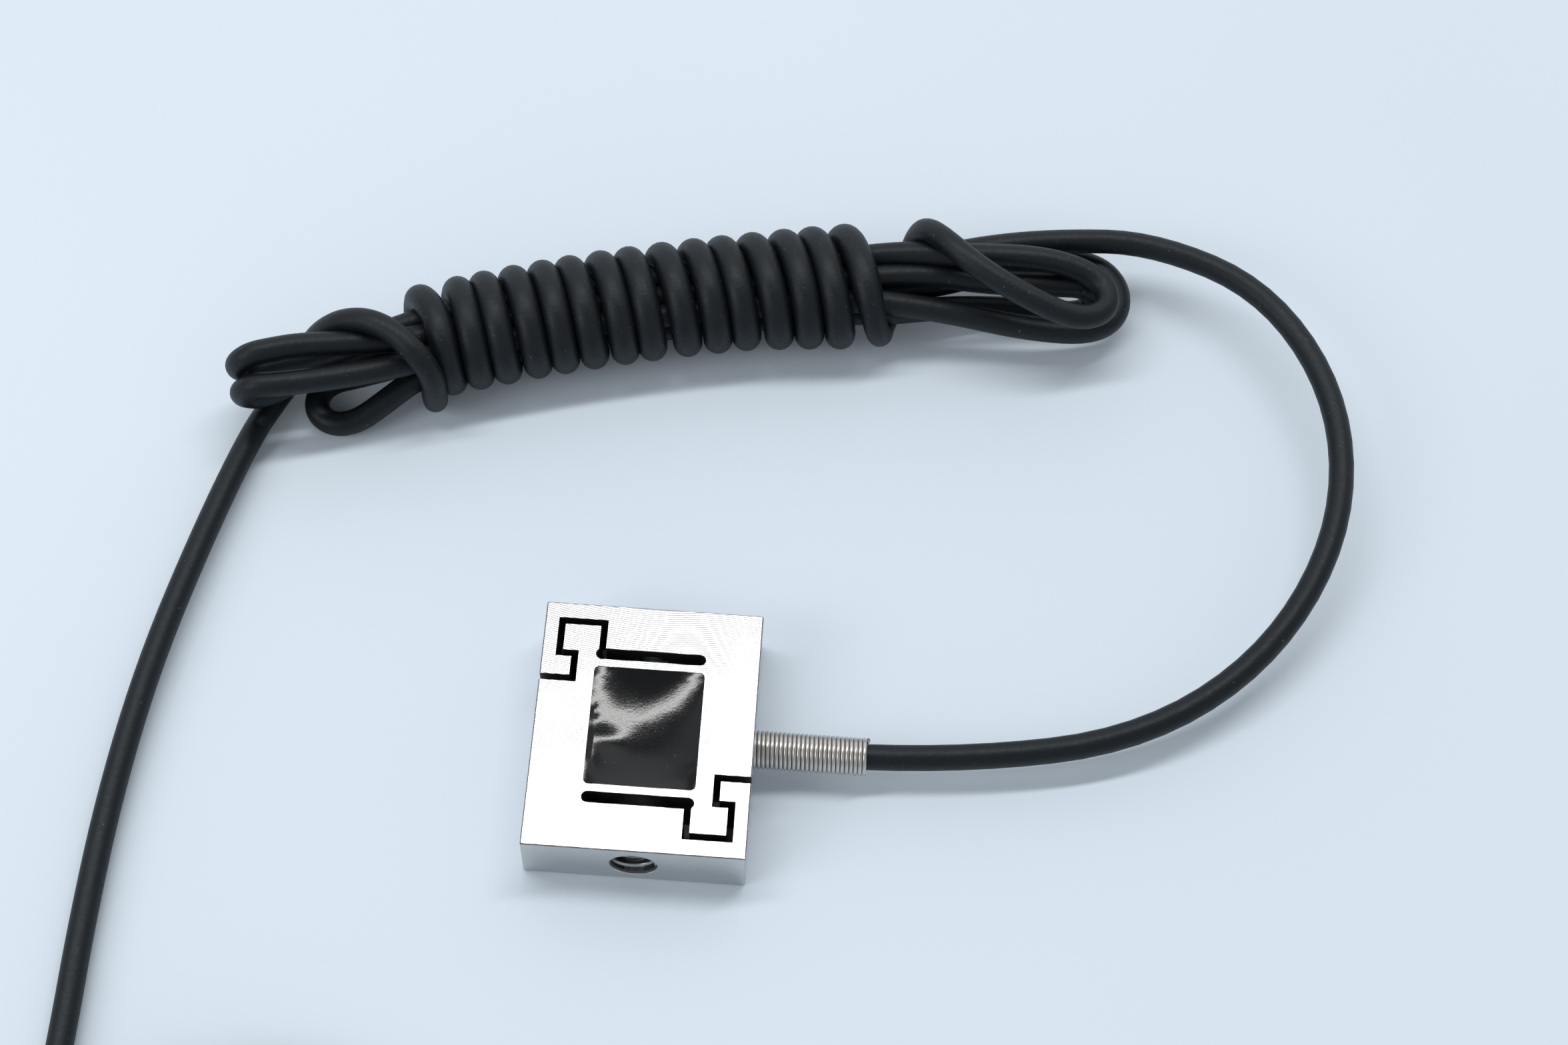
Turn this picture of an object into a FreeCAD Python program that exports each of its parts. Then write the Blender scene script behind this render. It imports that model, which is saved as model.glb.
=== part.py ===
import FreeCAD, Part
import math
import os

# Miniature S-type load cell: a wire-cut spring body with two tapped ends, a potted gauge window,
# a coiled-wire strain relief and its cable, wound into a hank with the free end in a small coil.
# Millimetres, +Z up. The body lies on its large face: origin at the middle of that face,
# +Y towards the far tapped end (the load axis), +X towards the cable exit.

Vec = FreeCAD.Vector
Z_AXIS = Vec(0, 0, 1)

# ---- spring body ----
body_width = 20.0            # across, along X
body_height = 24.0           # between the two loading faces, along Y
body_thickness = 6.4         # along Z
edge_break = 0.12            # chamfer on the outer edges

window_width = 10.1          # gauge window, right through the body
window_height = 11.6
window_corner = 0.5
flexure = 0.7                # thin strip between the window and each long slot
slot_length = 10.1           # long slot behind each flexure
slot_width = 1.1

hook_slot = 0.65             # wire-cut slot of the overload hooks
hook_mouth = 4.4             # distance of the side opening from the middle, along Y
hook_neck = 3.05             # depth of the side opening, to the middle of the next run
hook_step = 2.5              # rise of the second run
hook_barb = 1.45             # step back towards the side
hook_rise = 3.25             # rise of the fourth run

thread_diameter = 4.0        # M4 in both loading faces, down to the long slots
hole_countersink = 0.2       # widening of the mouth, on the radius

# ---- cable and strain relief ----
cable_diameter = 2.4
bore_clearance = 0.1         # cable to its bore, on the radius
spring_wire = 0.38
spring_gap = 0.02            # between neighbouring turns
spring_clearance = 0.17      # spring to cable, on the radius
spring_seat_clearance = 0.06
spring_seat_depth = 1.6
spring_reach = 10.5          # how far the spring stands out of the body
jacket_reach_in = 0.9        # how far the jacket reaches into the window
jacket_setback = 0.5         # where the loose cable takes over, inside the spring's mouth

# ---- inside the window ----
rim_recess = 0.15            # potting below the body's faces, at its rim
potting_sag = 0.75           # extra hollow in the middle of each potted face
gauge_length = 2.6           # strain gauge carrier, along the flexure
gauge_height = 3.6           # along Z
gauge_thickness = 0.1
gauge_end_gap = 0.55         # from the window's corner radius to the carrier
grid_legs = 5                # foil grid on the carrier
grid_leg = 0.16
grid_space = 0.16
grid_length = 1.9
grid_thickness = 0.04
tab_inset = 0.4              # soldered tabs, from the carrier's corner
board_length = 6.0           # terminal board, along Y
board_width = 4.4            # along X
board_thickness = 0.5
board_corner = 0.3
pad_inset = 0.5              # pads from the board's edge
pad_pitch = 0.85
joint_radius = 0.3           # solder joints
joint_height = 0.3
joint_taper = 0.45           # top radius of a joint, as a share of its foot
core_diameter = 0.54         # insulated cores of the cable
core_spread = 0.36           # core axes from the cable's axis
core_straight = 0.5          # run out of the jacket before a core bends
core_hover = 0.15            # arch of a core above its pad
drain_diameter = 0.3
drain_offset = 0.86          # drain above the cable's axis, clear of the cores
jumper_diameter = 0.18
jumper_arch = 0.6            # how far a jumper stands off its gauge and its pad
jumper_rise = 0.3
resistor_size = (0.5, 1.0, 0.35)
resistor_x = 0.4             # chips left and right of the board's middle line
resistor_y = 0.9
core_names = ("core_red", "core_white", "shield_drain", "core_green", "core_black")
gauge_sides = {"far_left": (False, False), "far_right": (True, False),   # mirrored in X, in Y
               "near_left": (False, True), "near_right": (True, True)}

# ---- hank: wound middle, with the folded ends standing out of it ----
hank_start = (-23.25, 40.0)  # middle of the first wrap, in plan
hank_turn = 13.1             # direction of the hank from +X, degrees
wrap_pitch = 2.97
wrap_count = 15
wrap_half_width = 5.15       # cable's axis from the hank's axis, level
wrap_half_height = 4.45      # and upright
left_loops = dict(reach=20.4, front=-6.1, back=3.4, high=11.2, corner=4.5)
right_loops = dict(reach=24.3, front=-8.2, back=2.3, high=9.7, corner=5.5)

# ---- coil that holds the rest of the cable ----
coil_centre = (-35.0, -51.0)
coil_radius = 12.3           # middle of the turns
coil_layers = (2, 1)         # turns lying on the surface, and on top of them

# ---- flying leads ----
lead_diameter = 0.7
conductor_diameter = 0.36
strip_length = 4.0
lead_colours = ("red", "black", "green", "white")
lead_spread = 0.37           # lead axes from the cable's axis, where the jacket ends
lead_straight = 4.0          # run out of the jacket before a lead bends
lead_fan = ((9.0, 2.6, 0.0), (17.0, 4.2, 0.4), (25.0, 4.8, 0.0))   # out, half width, sideways
lead_hump = 0.8              # the two upper leads at the first of these points
lead_stagger = (0.0, 1.6, -0.8, 0.9)

axis_height = body_thickness / 2
exit_x = body_width / 2 + spring_reach - jacket_setback
cable_radius = cable_diameter / 2
spring_inner = cable_radius + spring_clearance
spring_outer = spring_inner + spring_wire
slot_centre = window_height / 2 + flexure + slot_width / 2
jacket_x = window_width / 2 - jacket_reach_in
gauge_left = -window_width / 2 + window_corner + gauge_end_gap
board_top = axis_height + board_thickness / 2

# Loose cable, straight out of the spring and round to the hank.
lead_route = [
    (exit_x, 0.0, axis_height), (29.0, 0.0, axis_height), (46.0, 2.0, 3.6), (58.5, 10.5, 4.6),
    (65.0, 25.0, 5.6), (64.8, 40.0, 6.2), (57.8, 51.8, 6.5), (46.0, 56.8, 6.4), (38.0, 56.3, 6.0),
]
# From under the hank's left end down to the coil.
tail_route = [
    (-38.8, 34.5, 1.5), (-41.3, 27.0, 1.6), (-44.2, 14.0, 2.0), (-46.6, 1.0, 1.8),
    (-48.2, -12.5, 1.4), (-48.9, -25.0, 1.25), (-48.6, -38.0, 1.25), (-48.3, -48.0, 1.25),
]
# From the top of the coil out to where the jacket is stripped.
end_route = [
    (-33.5, -63.6, 3.1), (-27.0, -64.0, 2.9), (-20.5, -64.5, 1.9), (-14.0, -64.6, 1.25),
    (-7.0, -64.6, 1.25),
]


def box(x0, x1, y0, y1, z0, z1):
    return Part.makeBox(x1 - x0, y1 - y0, z1 - z0, Vec(x0, y0, z0))


def rod(start, end, radius):
    run = end - start
    return Part.makeCylinder(radius, run.Length, start, run)


def roundedPlan(x0, x1, y0, y1, corner, z0, z1):
    """Upright prism on a rectangle whose corners are rounded."""
    prism = box(x0, x1, y0, y1, z0, z1)
    upright = [e for e in prism.Edges if abs(e.tangentAt(e.FirstParameter).z) > 0.9]
    return prism.makeFillet(corner, upright)


def opposite(shape):
    """The same shape on the other side of the body, turned half round about its middle."""
    turned = shape.copy()
    turned.rotate(Vec(0, 0, 0), Z_AXIS, 180)
    return turned


def slotAlong(points, width, z0, z1):
    """Constant-width slot along a path of square turns."""
    half = width / 2
    runs = []
    for (xa, ya), (xb, yb) in zip(points, points[1:]):
        runs.append(box(min(xa, xb) - half, max(xa, xb) + half,
                        min(ya, yb) - half, max(ya, yb) + half, z0, z1))
    return runs[0].multiFuse(runs[1:]).removeSplitter()


def cableTube(points, diameter, name=None):
    """Round tube along straight runs that are joined by tangent arcs."""
    corners = [Vec(*p) for p in points]
    edges = []
    radii = []
    at = corners[0]
    for before, corner, after in zip(corners, corners[1:], corners[2:]):
        into = corner - before
        out = after - corner
        shorter = min(into.Length, out.Length)
        half_turn = into.getAngle(out) / 2
        setback = 0.45 * shorter
        into.normalize()
        out.normalize()
        arc_start = corner - into * setback
        arc_end = corner + out * setback
        radius = setback / math.tan(half_turn)
        inward = out - into
        inward.normalize()
        middle = corner + inward * (radius / math.cos(half_turn) - radius)
        edges.append(Part.LineSegment(at, arc_start).toShape())
        edges.append(Part.Arc(arc_start, middle, arc_end).toShape())
        radii.append(radius)
        at = arc_end
    edges.append(Part.LineSegment(at, corners[-1]).toShape())
    path = Part.Wire(edges)
    first_run = corners[1] - corners[0]
    section = Part.Wire([Part.Circle(corners[0], first_run, diameter / 2).toShape()])
    tube = path.makePipeShell([section], True, False)
    if name:
        expected = path.Length * math.pi * diameter ** 2 / 4
        print(name, "length %.1f" % path.Length,
              "radii", " ".join("%.1f" % r for r in radii),
              "volume / expected %.4f" % (tube.Volume / expected))
    return tube


def makeBody():
    blank = box(-body_width / 2, body_width / 2, -body_height / 2, body_height / 2,
                0, body_thickness)
    blank = blank.makeChamfer(edge_break, blank.Edges)
    low, high = -1, body_thickness + 1
    window = roundedPlan(-window_width / 2, window_width / 2,
                         -window_height / 2, window_height / 2, window_corner, low, high)
    long_slot = roundedPlan(-slot_length / 2, slot_length / 2,
                            slot_centre - slot_width / 2, slot_centre + slot_width / 2,
                            slot_width * 0.499, low, high)
    neck_x = -body_width / 2 + hook_neck
    barb_x = neck_x - hook_barb
    inner_x = -slot_length / 2 + slot_width / 2
    step_y = hook_mouth + hook_step
    top_y = step_y + hook_rise
    hook = slotAlong([(-body_width / 2 - 1, hook_mouth), (neck_x, hook_mouth),
                      (neck_x, step_y), (barb_x, step_y), (barb_x, top_y),
                      (inner_x, top_y), (inner_x, slot_centre)], hook_slot, low, high)
    face_y = body_height / 2
    centre = Vec(0, face_y, axis_height)
    inward = Vec(0, -1, 0)
    hole = Part.makeCylinder(thread_diameter / 2, face_y - slot_centre, centre, inward)
    mouth = Part.makeCone(thread_diameter / 2 + hole_countersink, thread_diameter / 2,
                          hole_countersink, centre, inward)
    cuts = [window]
    for cut in (long_slot, hook, hole, mouth):
        cuts += [cut, opposite(cut)]
    side_x = body_width / 2
    cuts.append(rod(Vec(jacket_x, 0, axis_height), Vec(side_x, 0, axis_height),
                    cable_radius + bore_clearance))
    cuts.append(rod(Vec(side_x - spring_seat_depth, 0, axis_height),
                    Vec(side_x + 1, 0, axis_height), spring_outer + spring_seat_clearance))
    return blank.cut(cuts)


def makeSpring():
    """Close-wound round wire, seated in the side of the body."""
    start = body_width / 2 - spring_seat_depth + spring_wire / 2
    length = spring_seat_depth + spring_reach - spring_wire
    mean = (spring_inner + spring_outer) / 2
    helix = Part.makeHelix(spring_wire + spring_gap, length, mean)
    section = Part.Wire([Part.Circle(Vec(mean, 0, 0), Vec(0, 1, 0), spring_wire / 2).toShape()])
    wire = Part.Wire(helix.Edges).makePipeShell([section], True, True)
    wire.rotate(Vec(0, 0, 0), Vec(0, 1, 0), 90)
    wire.translate(Vec(start, 0, axis_height))
    return wire


def makeAnchoredEnd():
    """Stretch of the cable that is held in the spring, the body and the potting."""
    return rod(Vec(jacket_x, 0, axis_height), Vec(exit_x, 0, axis_height), cable_radius)


def makeGauge():
    """Foil gauge on the inner face of the far flexure, at its left end."""
    back = window_height / 2
    front = back - gauge_thickness
    carrier = box(gauge_left, gauge_left + gauge_length, front, back,
                  axis_height - gauge_height / 2, axis_height + gauge_height / 2)
    grid_width = grid_legs * grid_leg + (grid_legs - 1) * grid_space
    grid_left = gauge_left + (gauge_length - grid_length) / 2
    foil = []
    for i in range(grid_legs):
        z = axis_height - grid_width / 2 + i * (grid_leg + grid_space)
        foil.append(box(grid_left, grid_left + grid_length, front - grid_thickness, front,
                        z, z + grid_leg))
        if i < grid_legs - 1:
            x = grid_left + (grid_length - grid_leg if i % 2 == 0 else 0)
            foil.append(box(x, x + grid_leg, front - grid_thickness, front,
                            z + grid_leg, z + grid_leg + grid_space))
    return carrier.multiFuse(foil).removeSplitter()


def makeJumper(i):
    """One of the two fine wires from the far left gauge to the terminal board."""
    face = window_height / 2 - gauge_thickness - jumper_diameter / 2
    pad_x, pad_y = jumperPads()[i]
    x = gauge_left + gauge_length - tab_inset * (2 - i)
    z = axis_height + gauge_height / 2 - tab_inset
    return cableTube([(x, face, z), (x, face - jumper_arch, z + jumper_rise),
                      (pad_x, pad_y + pad_inset, board_top + jumper_arch),
                      (pad_x, pad_y, board_top + jumper_diameter / 2)], jumper_diameter)


def makeBoard():
    return roundedPlan(-board_width / 2, board_width / 2, -board_length / 2, board_length / 2,
                       board_corner, axis_height - board_thickness / 2, board_top)


def jumperPads():
    """Pads of the far left gauge; the other gauges have theirs mirrored."""
    y = board_length / 2 - pad_inset
    return [(-board_width / 2 + pad_inset + i * pad_pitch, y) for i in range(2)]


def corePads():
    """Row of pads for the four cores and the drain wire."""
    return [(board_width / 2 - pad_inset, (i - 2) * pad_pitch) for i in range(5)]


def mirrored(shape, across_x, across_y):
    copy = shape.copy()
    if across_x:
        copy = copy.mirror(Vec(0, 0, 0), Vec(1, 0, 0))
    if across_y:
        copy = copy.mirror(Vec(0, 0, 0), Vec(0, 1, 0))
    return copy


def makeCore(i):
    """One insulated core, or the bare drain in the middle of the row, to its pad."""
    drain = i == 2
    diameter = drain_diameter if drain else core_diameter
    start_y = (-1, -1, 0, 1, 1)[i] * core_spread
    rise = drain_offset if drain else (-1, 1, 0, 1, -1)[i] * core_spread
    start_z = axis_height + rise
    x, y = corePads()[i]
    pad_z = board_top + joint_height / 3 + diameter / 2
    return cableTube([(jacket_x, start_y, start_z), (jacket_x - core_straight, start_y, start_z),
                      (x + core_straight, y, pad_z + core_hover), (x, y, pad_z)], diameter)


def makeJoint(x, y, wire):
    """Solder dome on the board, round the end of its wire."""
    dome = Part.makeCone(joint_radius, joint_radius * joint_taper, joint_height,
                         Vec(x, y, board_top))
    return dome.cut(wire)


def makeResistor(x, y):
    across, along, high = resistor_size
    return box(x - across / 2, x + across / 2, y - along / 2, y + along / 2,
               board_top, board_top + high)


def makePotting(inside):
    """Compound that fills the window, dished on both faces, round everything it holds."""
    fill = roundedPlan(-window_width / 2, window_width / 2, -window_height / 2,
                       window_height / 2, window_corner, rim_recess,
                       body_thickness - rim_recess)
    reach = math.hypot(window_width, window_height) / 2
    dish_radius = (reach ** 2 + potting_sag ** 2) / (2 * potting_sag)
    dishes = []
    for centre_z in (body_thickness - rim_recess - potting_sag + dish_radius,
                     rim_recess + potting_sag - dish_radius):
        dishes.append(Part.makeSphere(dish_radius, Vec(0, 0, centre_z)))
    return fill.cut(dishes).cut(inside)


def placeOnHank(shape):
    shape.rotate(Vec(0, 0, 0), Z_AXIS, hank_turn)
    shape.translate(Vec(hank_start[0], hank_start[1], 0))
    return shape


def makeHank():
    """Outer shape of the wound middle and of the folded loops at its two ends."""
    half_width = wrap_half_width + cable_radius
    half_height = wrap_half_height + cable_radius
    low = -wrap_pitch / 2
    high = (wrap_count - 0.5) * wrap_pitch
    oval = Part.Ellipse(Vec(0, 0, 0), half_width, half_height).toShape()
    wraps = Part.Face(Part.Wire([oval])).extrude(Vec(0, 0, high - low))
    wraps.rotate(Vec(0, 0, 0), Vec(1, 1, 1), 120)
    wraps.translate(Vec(low, 0, half_height))
    ends = []
    for loops, x0, x1 in ((left_loops, low - left_loops["reach"], low),
                          (right_loops, high, high + right_loops["reach"])):
        block = box(x0, x1, loops["front"] - cable_radius, loops["back"] + cable_radius,
                    0, loops["high"])
        outer_x = x0 if x1 == low else x1
        tips = [e for e in block.Edges
                if abs(e.tangentAt(e.FirstParameter).z) > 0.9
                and abs(e.CenterOfMass.x - outer_x) < 0.01]
        ends.append(block.makeFillet(loops["corner"], tips))
    return placeOnHank(wraps.multiFuse(ends).removeSplitter())


def makeCoil():
    """Ring with the outer shape of the coiled cable."""
    wide = cable_diameter * coil_layers[0] / 2
    high = cable_diameter * (1 + math.sqrt(3) / 2 * (len(coil_layers) - 1))
    centre = Vec(coil_centre[0], coil_centre[1], 0)
    ring = Part.makeCylinder(coil_radius + wide, high, centre)
    ring = ring.cut(Part.makeCylinder(coil_radius - wide, high, centre))
    top = [e for e in ring.Edges if e.Closed and abs(e.BoundBox.ZMin - high) < 1e-6]
    return ring.makeChamfer(cable_radius * 0.6, top)


def leadRoute(i):
    """Flying lead that fans out of the stripped jacket and comes down to the surface."""
    x, y, z = end_route[-1]
    side = (i - 1.5) / 1.5
    upper = i in (1, 2)
    start_y = y + math.copysign(lead_spread, side)
    start_z = z + (lead_spread if upper else -lead_spread)
    route = [(x, start_y, start_z), (x + lead_straight, start_y, start_z)]
    for out, half_width, sideways in lead_fan:
        route.append((x + out, y + half_width * side + sideways, lead_diameter / 2))
    if upper:
        route[2] = (*route[2][:2], route[2][2] + lead_hump)
    route[-1] = (route[-1][0] + lead_stagger[i], *route[-1][1:])
    return route


def makeTip(i):
    """Bare, tinned end of a flying lead."""
    before, end = (Vec(*p) for p in leadRoute(i)[-2:])
    run = end - before
    run.normalize()
    return rod(end, end + run * strip_length, conductor_diameter / 2)


def save(name, shape):
    shape.exportStep("parts/%s.step" % name)
    print("%-26s solids %d  volume %.3f  valid %s"
          % (name, len(shape.Solids), shape.Volume, shape.isValid()))


def makeInside(anchored):
    """Everything that the potting holds, by node name."""
    inside = {"cable_anchored_end": anchored, "terminal_board": makeBoard(),
              "zero_trim_resistor": makeResistor(-resistor_x, resistor_y),
              "span_resistor": makeResistor(-resistor_x, -resistor_y)}
    for side, (across_x, across_y) in gauge_sides.items():
        inside["gauge_" + side] = mirrored(makeGauge(), across_x, across_y)
        for i, (x, y) in enumerate(jumperPads()):
            name = "%s_%d" % (side, i + 1)
            jumper = mirrored(makeJumper(i), across_x, across_y)
            inside["jumper_" + name] = jumper
            inside["solder_joint_" + name] = makeJoint(-x if across_x else x,
                                                       -y if across_y else y, jumper)
    for i, (core, (x, y)) in enumerate(zip(core_names, corePads())):
        inside[core] = makeCore(i)
        inside["solder_joint_" + core] = makeJoint(x, y, inside[core])
    return inside


def main():
    os.makedirs("parts", exist_ok=True)
    save("beam_body", makeBody())
    save("strain_relief_spring", makeSpring())
    inside = makeInside(makeAnchoredEnd())
    for name, shape in inside.items():
        save(name, shape)
    save("potting_fill", makePotting(list(inside.values())))

    hank = makeHank()
    coil = makeCoil()
    save("cable_hank", hank)
    save("cable_coil", coil)
    save("cable_lead", cableTube(lead_route, cable_diameter, "cable_lead").cut(hank))
    save("cable_tail", cableTube(tail_route, cable_diameter, "cable_tail").cut([hank, coil]))
    save("cable_end", cableTube(end_route, cable_diameter, "cable_end").cut(coil))
    for i, colour in enumerate(lead_colours):
        save("flying_lead_" + colour, cableTube(leadRoute(i), lead_diameter))
        save("tinned_tip_" + colour, makeTip(i))


main()
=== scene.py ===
import math

import bpy
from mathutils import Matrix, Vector, noise


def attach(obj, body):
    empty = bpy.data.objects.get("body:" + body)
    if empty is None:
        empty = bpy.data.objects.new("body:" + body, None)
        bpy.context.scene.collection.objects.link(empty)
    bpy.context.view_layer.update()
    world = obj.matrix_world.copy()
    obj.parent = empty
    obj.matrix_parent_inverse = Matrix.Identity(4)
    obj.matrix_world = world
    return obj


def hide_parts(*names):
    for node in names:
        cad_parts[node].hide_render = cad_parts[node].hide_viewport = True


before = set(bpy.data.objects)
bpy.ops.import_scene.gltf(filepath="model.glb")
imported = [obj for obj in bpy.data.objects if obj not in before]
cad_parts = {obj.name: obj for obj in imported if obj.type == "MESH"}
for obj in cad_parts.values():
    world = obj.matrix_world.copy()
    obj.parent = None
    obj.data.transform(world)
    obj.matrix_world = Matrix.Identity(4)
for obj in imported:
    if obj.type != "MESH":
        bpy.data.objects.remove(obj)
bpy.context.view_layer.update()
print("frame loaded:", len(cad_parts), "nodes")

scene = bpy.context.scene


cameraSettings = dict(place=(0.011864, -0.098530, 0.229607), turn=(28.305, -1.768, 3.578), lens=61.99,
                      sensor=36, nearest=0.005)


def makeCamera(s):
    data = bpy.data.cameras.new("camera")
    data.lens = s["lens"]
    data.sensor_width = s["sensor"]
    data.clip_start = s["nearest"]
    camera = bpy.data.objects.new("camera", data)
    camera.location = s["place"]
    camera.rotation_euler = [math.radians(a) for a in s["turn"]]
    scene.collection.objects.link(camera)
    scene.camera = camera


makeCamera(cameraSettings)


class Nodes:  # the nodes of a material or of the world: nodes by kind, sockets by name or number
    def __init__(self, owner, shader="Principled BSDF"):
        owner.use_nodes = True
        self.owner = owner
        self.tree = owner.node_tree
        self.shader = self.tree.nodes[shader]

    def add(self, kind, inputs=None, **values):
        node = self.tree.nodes.new("ShaderNode" + kind)
        for key, value in values.items():
            setattr(node, key, value)
        for key, value in (inputs or {}).items():
            self.put(node.inputs[key], value)
        return node

    def put(self, socket, value):
        if isinstance(value, bpy.types.NodeSocket):
            self.tree.links.new(value, socket)
        else:
            socket.default_value = value

    def set(self, **inputs):
        for key, value in inputs.items():
            self.put(self.shader.inputs[key.replace("_", " ")], value)

    def math(self, kind, *values):
        return self.add("Math", dict(enumerate(values)), operation=kind).outputs[0]

    def where(self):
        return self.add("TexCoord").outputs["Object"]

    def noise(self, size, detail=2.0):  # size is that of one patch of the noise
        scaled = self.add("Mapping", {"Vector": self.where(), "Scale": (1 / size,) * 3}).outputs[0]
        return self.add("TexNoise", {"Vector": scaled, "Scale": 1.0, "Detail": detail}).outputs["Fac"]

    def specks(self, size, low, high):  # black, and white on the noise's few peaks
        node = self.add("ValToRGB", {"Fac": self.noise(size, 1)})
        for element, at in zip(node.color_ramp.elements, (low, high)):
            element.position = at
        return node.outputs["Color"]

    def span(self, value, newLow, newHigh, low=0.2, high=0.8):  # a noise keeps between 0.2 and 0.8
        return self.add("MapRange", {"Value": value, "From Min": low, "From Max": high,
                                     "To Min": newLow, "To Max": newHigh}).outputs[0]

    def ease(self, value, low, high):
        return self.add("MapRange", {"Value": value, "From Min": low, "From Max": high},
                        interpolation_type="SMOOTHSTEP").outputs[0]

    def mix(self, factor, one, two):  # the colour sockets share their names with others, so by number
        node = self.add("Mix", data_type="RGBA")
        for place, value in ((0, factor), (6, one), (7, two)):
            self.put(node.inputs[place], (*value, 1) if isinstance(value, tuple) else value)
        return node.outputs[2]

    def bump(self, height, distance):
        self.set(Normal=self.add("Bump", {"Height": height, "Distance": distance}).outputs[0])


cable = dict(
    diameter=0.0024,
    exit=(0.020, 0, 0.0032),
    smooth=6,                  # steps of the curve from point to point
    round=9,                   # steps of the tube's section
)

hank = dict(
    start=(-0.02325, 0.0400),
    turn=13.1,
    bow=0.0013,                # the hank's middle stands back by this much
    middle=0.021,
    half=0.023,                # from the middle to where the bow ends
)

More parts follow.
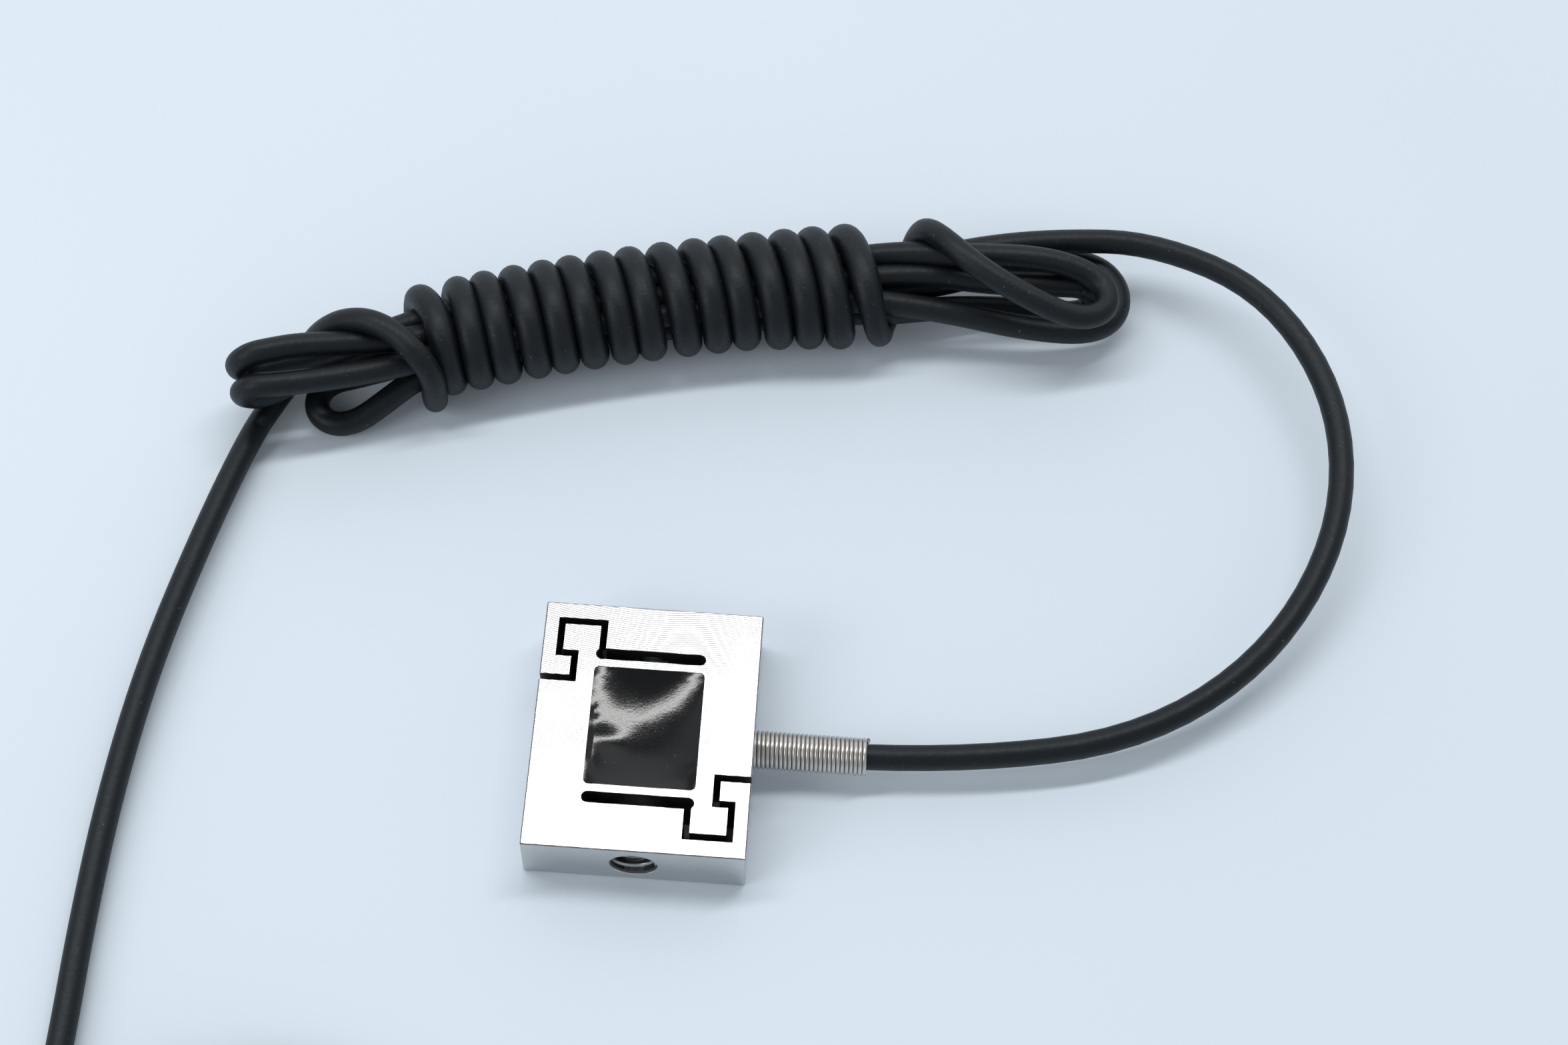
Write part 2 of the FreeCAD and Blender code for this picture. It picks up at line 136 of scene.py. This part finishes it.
routes = dict(
    lead=[
        (0.02, 0, 0.0032), (0.029, 0.0003, 0.0032), (0.0452, 0.0034, 0.0036), (0.0572, 0.0123, 0.0046),
        (0.0642, 0.0258, 0.0056), (0.0642, 0.04, 0.0062), (0.0573, 0.0518, 0.0065),
        (0.046, 0.0566, 0.0064), (0.0365, 0.0563, 0.006),
    ],
    strands=[  # how far along the hank, how far across it to the back, how high
        # in from the right, round the low left loop and back along the top
        (0.054, 0.0029, 0.0056), (0.046, 0.0026, 0.0046), (0.03, 0.0021, 0.0041),
        (0.01, 0.0021, 0.0041), (0, 0.0022, 0.004),
        (-0.008, 0.0012, 0.0035), (-0.0133, -0.001, 0.0036), (-0.0161, -0.0021, 0.0037),
        (-0.0181, -0.0028, 0.0037), (-0.0195, -0.0033, 0.0051), (-0.0195, -0.004, 0.0071),
        (-0.0181, -0.0044, 0.0085), (-0.0161, -0.0046, 0.0085), (-0.01, -0.0045, 0.0082),
        (-0.004, -0.0034, 0.0072), (0.002, -0.0022, 0.0066), (0.02, -0.0021, 0.0065),
        (0.04, -0.0022, 0.0066),
        # wide right loop in front
        (0.0463, -0.0032, 0.0059), (0.0506, -0.0043, 0.0052), (0.057, -0.0063, 0.0042),
        (0.0632, -0.0074, 0.0035), (0.0665, -0.006, 0.0033), (0.0676, -0.0026, 0.0033),
        (0.066, 0.0006, 0.0033), (0.0615, 0.002, 0.0034), (0.055, 0.0012, 0.0034),
        (0.048, 0.0002, 0.0036), (0.04, 0, 0.0041), (0.02, 0, 0.0041), (0.002, 0, 0.004),
        # low left loop on the surface
        (-0.004, -0.0007, 0.003), (-0.0085, -0.0006, 0.0017), (-0.0114, -0.0007, 0.0014),
        (-0.0129, -0.0022, 0.0013), (-0.0129, -0.0042, 0.0013), (-0.0114, -0.0056, 0.0013),
        (-0.0091, -0.0056, 0.0015), (-0.0063, -0.0045, 0.0026), (-0.0025, -0.0027, 0.0039),
        (0.004, -0.0021, 0.0041), (0.02, -0.0021, 0.0041), (0.038, -0.0021, 0.004),
        # narrow right loop, standing on edge
        (0.044, -0.0023, 0.0038), (0.048, -0.0019, 0.003), (0.054, -0.0018, 0.0019),
        (0.0612, -0.0031, 0.0013), (0.0632, -0.0035, 0.0013), (0.0646, -0.0038, 0.0027),
        (0.0646, -0.0038, 0.0047), (0.0632, -0.0034, 0.0061), (0.0612, -0.003, 0.0061),
        (0.054, -0.0018, 0.0063), (0.048, -0.0001, 0.0067), (0.04, 0.0001, 0.0067), (0.02, 0, 0.0065),
        (0.002, 0, 0.0066),
        # upper left loop
        (-0.003, -0.0009, 0.0076), (-0.008, -0.0012, 0.0087), (-0.0135, -0.0013, 0.0097),
        (-0.016, -0.0015, 0.0098), (-0.0181, -0.0017, 0.0098), (-0.0196, -0.0016, 0.0083),
        (-0.0196, -0.001, 0.0062), (-0.0181, -0.0004, 0.0049), (-0.016, -0.0001, 0.0049),
        (-0.012, -0.0001, 0.0053), (-0.006, 0.001, 0.0062), (0, 0.0021, 0.0066), (0.02, 0.0021, 0.0065),
        (0.04, 0.0023, 0.0068),
        # last loop on the right, which turns down into the wraps
        (0.046, 0.0021, 0.0076), (0.052, 0.0003, 0.0085), (0.0585, -0.0011, 0.0089),
        (0.063, -0.0026, 0.0081), (0.0652, -0.0047, 0.0075), (0.0646, -0.0076, 0.0076),
        (0.0613, -0.0086, 0.0083), (0.0563, -0.0061, 0.01), (0.0519, -0.0024, 0.011),
        (0.0498, 0.0008, 0.0109), (0.0486, 0.0035, 0.0093), (0.0481, 0.0048, 0.0063),
        (0.0474, 0.0044, 0.003), (0.0463, 0.0022, 0.0013),
    ],
    tuck=[
        # from the last wrap, up over the left loops and down to the surface
        (-0.0016, -0.0012, 0.0014), (-0.0015, -0.0039, 0.0014), (-0.0014, -0.0055, 0.003),
        (-0.0013, -0.0058, 0.0053),
        (-0.0014, -0.0054, 0.0079), (-0.0025, -0.0042, 0.0101), (-0.0044, -0.0018, 0.0108),
        (-0.0068, 0, 0.0107), (-0.0093, 0.0011, 0.0093), (-0.0114, 0.0017, 0.0069),
        (-0.0129, 0.002, 0.004), (-0.0143, 0.0013, 0.002), (-0.0156, -0.0003, 0.0013),
        (-0.0168, -0.0018, 0.0013),
    ],
    tail=[
        (-0.041, 0.03, 0.0015), (-0.0437, 0.0185, 0.002), (-0.0464, 0.005, 0.0019),
        (-0.0478, -0.008, 0.0014), (-0.0481, -0.0205, 0.0012), (-0.0479, -0.031, 0.0012),
        (-0.0481, -0.0415, 0.0012),
    ],
    end=[
        (-0.0272, -0.0645, 0.0036), (-0.0222, -0.0651, 0.0023), (-0.0178, -0.0649, 0.00145),
        (-0.014, -0.0646, 0.00125), (-0.007, -0.0646, 0.00125),
    ],
)


def onHank(s, u, z):
    turn = math.radians(hank["turn"])
    u += hank["bow"] * max(0.0, 1 - ((s - hank["middle"]) / hank["half"]) ** 2)
    x0, y0 = hank["start"]
    return (x0 + math.cos(turn) * s - math.sin(turn) * u, y0 + math.sin(turn) * s + math.cos(turn) * u, z)


wraps = dict(
    count=15,
    perTurn=12,
    pitch=0.00293,
    length=0.041,
    wide=0.0046,
    high=0.00385,
    middle=0.00535,
    pressed=(1.16, 1.23),      # the wraps press the soft jacket wider, less at the left end
    unpressed=4,               # this many points at each end stay as they are
    gap=(7.5, 0.0004),         # from this turn on the wraps stand a little further to the right
    uneven=(0.00011, 2.3),     # how far, and how often
    entry=(14.2, 0.0048),      # past this turn the cord comes in at a slant, this far per turn
    shift=0.0002,              # all wraps to the left
    crowd=0.0024,              # the middle ones further to the left
    lean=0.00018,              # undersides to the left
    leave=0.0010,              # slant of the last half turn, on the left
    swelling=(0.75, 0.12),     # how far along the wraps grow wider to the right, and by how much
    narrowing=(0.02, 0.03),    # smaller to the left, across and in height
    aside=(0.0002, 0.0002),    # to the back, less towards the right end and the left end
)


def wrapPoints(w):
    points = []
    wider = 1 / math.cos(math.pi / w["perTurn"])
    for i in range(1, w["count"] * w["perTurn"]):
        turn = w["count"] - 0.5 - i / w["perTurn"]
        phi = 2 * math.pi * turn
        s = w["pitch"] * turn + (w["gap"][1] if turn >= w["gap"][0] else 0)
        s += w["uneven"][0] * math.sin(w["uneven"][1] * turn)
        along = s / w["length"]
        s += w["entry"][1] * max(0.0, turn - w["entry"][0]) - w["shift"] - w["crowd"] * along * (1 - along)
        s -= w["lean"] * (1 - math.cos(phi))
        if turn < 0:
            s += w["leave"] * math.sin(phi)
        near = max(0.0, (along - w["swelling"][0]) / (1 - w["swelling"][0]))
        across = w["wide"] * (1 + w["swelling"][1] * near - w["narrowing"][0] * (1 - along))
        up = w["high"] * (1 - w["narrowing"][1] * (1 - along))
        u = w["aside"][0] * (1 - near) - w["aside"][1] * (1 - along) - across * wider * math.sin(phi)
        points.append(onHank(s, u, w["middle"] + up * wider * math.cos(phi)))
    return points


coil = dict(
    centre=(-0.0321, -0.0489),
    perTurn=12,
    turns=3.25,
    path=[  # turn, radius and height
        (0, 0.016, 0.0012), (0.58, 0.016, 0.0012), (0.9, 0.0135, 0.0012), (1.3, 0.0135, 0.0012),
        (1.58, 0.0135, 0.0036), (2.2, 0.0135, 0.0036), (2.48, 0.016, 0.0036), (3.3, 0.016, 0.0036),
    ],
)


def coilPoints(c):
    points = []
    wider = 1 / math.cos(math.pi / c["perTurn"])
    x0, y0 = c["centre"]
    for i in range(int(c["turns"] * c["perTurn"]) + 1):
        turn = i / c["perTurn"]
        after = next(k for k, stop in enumerate(c["path"]) if stop[0] > turn)
        (t0, r0, z0), (t1, r1, z1) = c["path"][after - 1:after + 1]
        blend = (turn - t0) / (t1 - t0)
        radius = (r0 + (r1 - r0) * blend) * wider
        angle = math.pi + 2 * math.pi * turn
        points.append((x0 + radius * math.cos(angle), y0 + radius * math.sin(angle), z0 + (z1 - z0) * blend))
    return points


def makeCable(c):
    points = routes["lead"] + [onHank(*p) for p in routes["strands"]]
    firstWrap = len(points) + wraps["unpressed"]
    points += wrapPoints(wraps)
    lastWrap = len(points) - wraps["unpressed"]
    points += [onHank(*p) for p in routes["tuck"]] + routes["tail"] + coilPoints(coil) + routes["end"]
    curve = bpy.data.curves.new("cable", "CURVE")
    curve.dimensions = "3D"
    curve.resolution_u = c["smooth"]
    curve.bevel_depth = 1.0        # each point's radius is then the tube's own
    curve.bevel_resolution = c["round"]
    curve.use_fill_caps = True
    spline = curve.splines.new("NURBS")
    spline.points.add(len(points) - 1)
    low, high = wraps["pressed"]
    for i, (point, place) in enumerate(zip(spline.points, points)):
        point.co = (*place, 1)
        toGo = (lastWrap - i) / (lastWrap - firstWrap)
        point.radius = c["diameter"] / 2 * (low + (high - low) * toGo if 0 <= toGo <= 1 else 1)
    spline.order_u = 3
    spline.use_endpoint_u = True
    cableObject = bpy.data.objects.new("cable", curve)
    scene.collection.objects.link(cableObject)
    return cableObject


cableObject = makeCable(cable)
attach(cableObject, "root")
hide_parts("cable_lead", "cable_hank", "cable_coil", "cable_tail", "cable_end")
print("cable laid")


def newMaterial(name):
    return Nodes(bpy.data.materials.new(name))


floorSettings = dict(size=4.0, pale=(0.69, 0.785, 0.872), paler=(0.722, 0.816, 0.9), patch=0.06,
                     roughness=0.75, sheen=0.15)


def makeFloor(s):
    half = s["size"] / 2
    corners = [(-half, -half, 0), (half, -half, 0), (half, half, 0), (-half, half, 0)]
    mesh = bpy.data.meshes.new("floor")
    mesh.from_pydata(corners, [], [(0, 1, 2, 3)])
    floor = bpy.data.objects.new("floor", mesh)
    scene.collection.objects.link(floor)
    n = newMaterial("paleFloor")
    n.set(Base_Color=n.mix(n.noise(s["patch"], 1), s["pale"], s["paler"]))
    n.set(Roughness=s["roughness"], Specular_IOR_Level=s["sheen"])
    mesh.materials.append(n.owner)


makeFloor(floorSettings)

skySettings = dict(front=(0.46, 0.47, 0.485), back=(0.94, 0.95, 0.97), zenith=(0.20, 0.203, 0.206),
                   frontToBack=(0.25, 0.75), upward=(0.82, 0.87))
lampSettings = dict(
    keyLamp=dict(place=(-0.05, 0.185, 0.60), size=(0.80, 0.06), power=2.2, colour=(1.0, 0.99, 0.98)),
    sideLamp=dict(place=(-0.50, -0.25, 0.40), size=(0.30, 0.30), power=0.9, colour=(0.98, 0.99, 1.0)),
)


def makeSky(s):
    scene.world = bpy.data.worlds.new("world")
    n = Nodes(scene.world, "Background")
    way = n.add("SeparateXYZ", {"Vector": n.add("TexCoord").outputs["Generated"]}).outputs
    around = n.mix(n.ease(way["Y"], *s["frontToBack"]), s["front"], s["back"])
    n.set(Color=n.mix(n.ease(way["Z"], *s["upward"]), around, s["zenith"]))


def makeLamp(name, s):
    data = bpy.data.lights.new(name, "AREA")
    data.shape = "RECTANGLE"
    data.size, data.size_y = s["size"]
    data.energy = s["power"]
    data.color = s["colour"]
    lamp = bpy.data.objects.new(name, data)
    lamp.location = s["place"]
    lamp.rotation_euler = (-Vector(s["place"])).to_track_quat("-Z", "Y").to_euler()
    scene.collection.objects.link(lamp)


makeSky(skySettings)
for name, settings in lampSettings.items():
    makeLamp(name, settings)
scene.view_settings.view_transform = "Standard"
print("floor and lights")


jacketSettings = dict(
    dark=(0.0028, 0.0036, 0.0050), light=(0.0050, 0.0064, 0.0085), patch=0.012,
    dust=(0.07, 0.08, 0.09), specks=(0.00032, 0.765, 0.785),
    grain=0.00035, relief=0.00003, roughness=(0.42, 0.55), sheen=0.36, tint=(0.80, 0.92, 1.0, 1),
)


def jacketMaterial(s):
    n = newMaterial("cableJacket")
    fine = n.noise(s["grain"], 3)
    base = n.mix(n.noise(s["patch"]), s["dark"], s["light"])
    n.set(Base_Color=n.mix(n.specks(*s["specks"]), base, s["dust"]))
    n.set(Roughness=n.span(fine, *s["roughness"]))
    n.set(Specular_IOR_Level=s["sheen"], Specular_Tint=s["tint"])
    n.bump(fine, s["relief"])
    return n.owner


alloySettings = dict(
    # besides the face's two tones, a near-black colour is painted on the walls of the slots as shade
    dark=(0.56, 0.565, 0.575), light=(0.63, 0.635, 0.64), patch=0.004, slotShade=(0.10, 0.102, 0.105),
    marksCentre=(0.0002, 0.045), marksPitch=0.00021, marksDepth=0.6,
    fading=(0.3, 1.0, 0.35, 0.65), fadingPatch=0.006, grain=0.00012, relief=0.000004,
    outer=(0.00995, 0.01195),  # half sizes: an upright face inside them is a wall of a slot, which gets painted shade
    flat=0.9, roughness=(0.20, 0.30), wallRoughness=0.25,
)


def alloyMaterial(s):
    n = newMaterial("bodyAlloy")
    where = n.add("SeparateXYZ", {"Vector": n.where()}).outputs
    squares = [n.math("POWER", n.math("SUBTRACT", where[axis], middle), 2)
               for axis, middle in zip("XY", s["marksCentre"])]
    away = n.math("SQRT", n.math("ADD", *squares))
    rings = n.math("SINE", n.math("MULTIPLY", away, 2 * math.pi / s["marksPitch"]))
    normal = n.add("SeparateXYZ", {"Vector": n.add("NewGeometry").outputs["Normal"]}).outputs
    flat = n.math("GREATER_THAN", n.math("ABSOLUTE", normal["Z"]), s["flat"])
    within = [n.math("LESS_THAN", n.math("ABSOLUTE", where[axis]), size)
              for axis, size in zip("XY", s["outer"])]
    slotShade = n.math("MULTIPLY", n.math("MULTIPLY", *within), n.math("SUBTRACT", 1.0, flat))
    fading = n.span(n.noise(s["fadingPatch"]), *s["fading"])
    marks = n.math("MULTIPLY", n.math("MULTIPLY", rings, fading), flat)
    grain = n.noise(s["grain"], 3)
    face = n.mix(n.noise(s["patch"], 3), s["dark"], s["light"])
    rough = n.span(grain, *s["roughness"])
    # the walls of the slots take the near-black colour, which is painted shade, and they are also made
    # rougher
    n.set(Base_Color=n.mix(slotShade, face, s["slotShade"]), Metallic=1.0)
    n.set(Roughness=n.math("ADD", rough, n.math("MULTIPLY", slotShade, s["wallRoughness"])))
    n.bump(n.math("ADD", n.math("MULTIPLY", marks, s["marksDepth"]), grain), s["relief"])
    return n.owner


metalSettings = dict(  # grain is the size of the fine noise, patch that of the change of tone
    threadAlloy=dict(dark=(0.34, 0.345, 0.35), light=(0.46, 0.465, 0.47), roughness=(0.28, 0.40),
                     grain=0.00015, relief=0.000004),
    springSteel=dict(dark=(0.52, 0.505, 0.48), light=(0.63, 0.615, 0.59), roughness=(0.27, 0.36),
                     grain=0.0002, patch=0.002, relief=0.000002),
    solderTin=dict(dark=(0.60, 0.60, 0.62), light=(0.75, 0.75, 0.76), roughness=(0.22, 0.38),
                   grain=0.0003, relief=0.00001),
    copperWire=dict(dark=(0.72, 0.35, 0.20), light=(0.84, 0.45, 0.28), roughness=(0.25, 0.40),
                    grain=0.0003),
)


def metalMaterial(name):
    s = metalSettings[name]
    n = newMaterial(name)
    fine = n.noise(s["grain"], 3)
    tone = n.noise(s["patch"]) if "patch" in s else fine
    n.set(Base_Color=n.mix(tone, s["dark"], s["light"]), Metallic=1.0)
    n.set(Roughness=n.span(fine, *s["roughness"]))
    if "relief" in s:
        n.bump(fine, s["relief"])
    return n.owner


plasticSettings = dict(size=0.0005, relief=0.00001, smoother=0.06, rougher=0.08)


def plasticMaterial(name, dark, light, roughness):
    s = plasticSettings
    n = newMaterial(name)
    fine = n.noise(s["size"], 3)
    n.set(Base_Color=n.mix(fine, dark, light))
    n.set(Roughness=n.span(fine, roughness - s["smoother"], roughness + s["rougher"]))
    n.bump(fine, s["relief"])
    return n.owner


gaugeSettings = dict(film=(0.52, 0.27, 0.08), foil=(0.62, 0.58, 0.52), bands=2500.0, patch=0.0004,
                     roughness=(0.3, 0.45))


def gaugeMaterial(s):
    n = newMaterial("gaugeFilm")
    wave = n.add("TexWave", {"Vector": n.where(), "Scale": s["bands"], "Distortion": 0.0},
                 wave_type="BANDS", bands_direction="Y").outputs["Fac"]
    n.set(Base_Color=n.mix(n.math("GREATER_THAN", wave, 0.5), s["film"], s["foil"]))
    n.set(Roughness=n.span(n.noise(s["patch"]), *s["roughness"], 0, 1))
    return n.owner


pottingSettings = dict(
    dark=(0.0022, 0.0026, 0.0036), light=(0.0040, 0.0046, 0.0060), patch=0.003,
    dust=(0.10, 0.105, 0.11), specks=(0.00022, 0.77, 0.79),
    peel=0.00022, pores=0.00010, poreDepth=0.5, relief=0.0000045, roughness=(0.08, 0.15, 0.3, 0.7),
)


def pottingMaterial(s):
    n = newMaterial("pottingCompound")
    peel = n.noise(s["peel"])
    pores = n.noise(s["pores"], 1)
    base = n.mix(n.noise(s["patch"]), s["dark"], s["light"])
    n.set(Base_Color=n.mix(n.specks(*s["specks"]), base, s["dust"]))
    n.set(Roughness=n.span(pores, *s["roughness"]))
    n.bump(n.math("ADD", peel, n.math("MULTIPLY", pores, s["poreDepth"])), s["relief"])
    return n.owner


jacket = jacketMaterial(jacketSettings)
potting = pottingMaterial(pottingSettings)
threadAlloy = metalMaterial("threadAlloy")
tin = metalMaterial("solderTin")
copper = metalMaterial("copperWire")
resistor = plasticMaterial("resistorBody", (0.03, 0.03, 0.035), (0.06, 0.06, 0.065), 0.4)
finishes = dict(  # by how a node's name starts, or ends for the four colours
    beam_body=alloyMaterial(alloySettings),
    strain_relief_spring=metalMaterial("springSteel"),
    potting_fill=potting,
    cable=jacket,
    gauge=gaugeMaterial(gaugeSettings),
    jumper=copper,
    shield_drain=copper,
    solder_joint=tin,
    tinned_tip=tin,
    terminal_board=plasticMaterial("boardLaminate", (0.02, 0.11, 0.05), (0.03, 0.16, 0.07), 0.35),
    zero_trim_resistor=resistor,
    span_resistor=resistor,
    red=plasticMaterial("redInsulation", (0.45, 0.02, 0.015), (0.55, 0.03, 0.02), 0.38),
    black=plasticMaterial("blackInsulation", (0.010, 0.010, 0.012), (0.018, 0.018, 0.02), 0.38),
    green=plasticMaterial("greenInsulation", (0.02, 0.20, 0.06), (0.03, 0.27, 0.08), 0.38),
    white=plasticMaterial("whiteInsulation", (0.74, 0.73, 0.70), (0.82, 0.81, 0.78), 0.38),
)


def finishFor(node):
    for key, material in finishes.items():
        if node.startswith(key):
            return material
    return finishes[node.split("_")[-1]]


pottingShape = dict(
    width=0.0101, height=0.0116, corner=0.0005, thick=0.0064, rim=0.00010, sag=0.00072, least=0.00003,
    flatness=(1.9, 2.3), shore=6, across=64, along=72, upright=0.3,
    ripple=(0.000012, 520), rimRipple=(0.00001, 1300), seeds=dict(top=3.0, under=9.0),
    hollows=dict(  # soft hollows left as the compound set: place, reach, depth
        top=[((-0.0035, -0.0013), (0.0018, 0.0012), 0.00013), ((-0.0048, 0.0014), (0.0005, 0.0007), 0.00008),
             ((-0.0046, -0.0034), (0.0009, 0.0014), 0.00010), ((0.0012, -0.0050), (0.0022, 0.0012), 0.00006)],
        under=[((0.0028, 0.0016), (0.0016, 0.0013), 0.00012),
               ((-0.0026, -0.0030), (0.0018, 0.0012), 0.00008)],
    ),
)


def rippled(x, y, seed, deep, fine):
    return deep * noise.noise(Vector((x * fine, y * fine, seed)))


def pottingDepth(s, x, y, side):  # how far the surface lies below the face of the body
    a, b = s["width"] / 2, s["height"] / 2
    powerX, powerY = s["flatness"]
    bowl = (1 - min(1, abs(x / a)) ** powerX) * (1 - min(1, abs(y / b)) ** powerY)
    down = s["rim"] + s["sag"] * bowl
    for (cx, cy), (rx, ry), deep in s["hollows"][side]:
        down += deep * math.exp(-((x - cx) / rx) ** 2 - ((y - cy) / ry) ** 2) * min(1, bowl * s["shore"])
    down += rippled(x, y, s["seeds"][side], *s["ripple"])
    down += rippled(x, y, s["seeds"][side], *s["rimRipple"]) * (1 - bowl) ** 3
    return max(s["least"], down)


def makePotting(s):
    a, b, r = s["width"] / 2, s["height"] / 2, s["corner"]
    nx, ny = s["across"], s["along"]
    points, faces = [], []
    for side in ("top", "under"):
        for j in range(ny + 1):
            y = -b * math.cos(math.pi * j / ny)
            past = max(0.0, abs(y) - (b - r))
            reach = a - r + math.sqrt(max(0.0, r * r - past * past))
            for i in range(nx + 1):
                x = -reach * math.cos(math.pi * i / nx)
                down = pottingDepth(s, x, y, side)
                points.append((x, y, s["thick"] - down if side == "top" else down))
    row = nx + 1
    under = row * (ny + 1)
    for j in range(ny):
        for i in range(nx):
            k = j * row + i
            faces.append((k, k + 1, k + row + 1, k + row))
            faces.append((under + k, under + k + row, under + k + row + 1, under + k + 1))
    edge = list(range(nx)) + [j * row + nx for j in range(ny)]
    edge += [ny * row + nx - i for i in range(nx)] + [(ny - j) * row for j in range(ny)]
    for k, one in enumerate(edge):
        two = edge[(k + 1) % len(edge)]
        faces.append((one, under + one, under + two, two))
    mesh = bpy.data.meshes.new("pottingPool")
    mesh.from_pydata(points, [], faces)
    mesh.materials.append(potting)
    for face in mesh.polygons:
        face.use_smooth = abs(face.normal.z) > s["upright"]
    pool = bpy.data.objects.new("pottingPool", mesh)
    scene.collection.objects.link(pool)
    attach(pool, "root")
    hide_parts("potting_fill")


makePotting(pottingShape)
print("potting poured")


threadShape = dict(Radius=0.00200, Pitch=0.0007, Turns=5.6, Root=0.00062, Crest=0.00012, Depth=0.00036)
threadPlace = dict(threadNear=(0, -0.01172, 0.0032, -90), threadFar=(0, 0.01172, 0.0032, 90))
threadSteps = 40               # points of the ridge per turn


def threadTree():
    tree = bpy.data.node_groups.new("tappedThread", "GeometryNodeTree")

    def socket(name, kind, way="INPUT"):
        tree.interface.new_socket(name, in_out=way, socket_type="NodeSocket" + kind)

    def add(kind, inputs, **values):  # sockets by name or number
        node = tree.nodes.new(kind)
        for key, value in values.items():
            setattr(node, key, value)
        for key, value in inputs.items():
            if isinstance(value, bpy.types.NodeSocket):
                tree.links.new(value, node.inputs[key])
            else:
                node.inputs[key].default_value = value
        return node.outputs

    socket("Geometry", "Geometry")
    for name in threadShape:
        socket(name, "Float")
    socket("Place", "Vector")
    socket("Turn", "Vector")
    socket("Finish", "Material")
    socket("Geometry", "Geometry", "OUTPUT")
    given = add("NodeGroupInput", {})
    long = add("ShaderNodeMath", {0: given["Pitch"], 1: given["Turns"]}, operation="MULTIPLY")
    spiral = add("GeometryNodeCurveSpiral", {
        "Resolution": threadSteps, "Rotations": given["Turns"], "Start Radius": given["Radius"],
        "End Radius": given["Radius"], "Height": long[0]})
    upright = add("GeometryNodeSetCurveNormal", {"Curve": spiral[0]}, mode="Z_UP")
    ridge = add("GeometryNodeCurvePrimitiveQuadrilateral", {
        "Offset": 0.0, "Bottom Width": given["Root"], "Top Width": given["Crest"],
        "Height": given["Depth"]}, mode="TRAPEZOID")
    swept = add("GeometryNodeCurveToMesh", {
        "Fill Caps": True, "Curve": upright[0], "Profile Curve": ridge[0]})
    placed = add("GeometryNodeTransform", {
        "Geometry": swept[0], "Translation": given["Place"], "Rotation": given["Turn"]})
    real = add("GeometryNodeRealizeInstances", {0: placed[0]})
    finished = add("GeometryNodeSetMaterial", {"Geometry": real[0], "Material": given["Finish"]})
    add("NodeGroupOutput", {0: finished[0]})
    return tree


def makeThreads(shape, places):
    tree = threadTree()
    sockets = {item.name: item.identifier for item in tree.interface.items_tree if item.in_out == "INPUT"}
    for name, (x, y, z, turn) in places.items():
        draft = bpy.data.objects.new(name + "Draft", bpy.data.meshes.new(name + "Draft"))
        scene.collection.objects.link(draft)
        grow = draft.modifiers.new("thread", "NODES")
        grow.node_group = tree
        for key, value in shape.items():
            grow[sockets[key]] = value
        grow[sockets["Place"]] = (x, y, z)
        grow[sockets["Turn"]] = (math.radians(turn), 0.0, 0.0)
        grow[sockets["Finish"]] = threadAlloy
        draft.update_tag()
        graph = bpy.context.evaluated_depsgraph_get()
        mesh = bpy.data.meshes.new_from_object(draft.evaluated_get(graph))
        mesh.name = name
        draft.modifiers.remove(grow)
        bpy.data.objects.remove(draft)
        thread = bpy.data.objects.new(name, mesh)
        scene.collection.objects.link(thread)
        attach(thread, "root")
        print(name, len(mesh.polygons), "faces")


makeThreads(threadShape, threadPlace)

cableObject.data.materials.append(jacket)
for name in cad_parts:
    for slot in bpy.data.objects[name].material_slots:
        slot.material = finishFor(name)
print("materials")

bpy.context.view_layer.update()
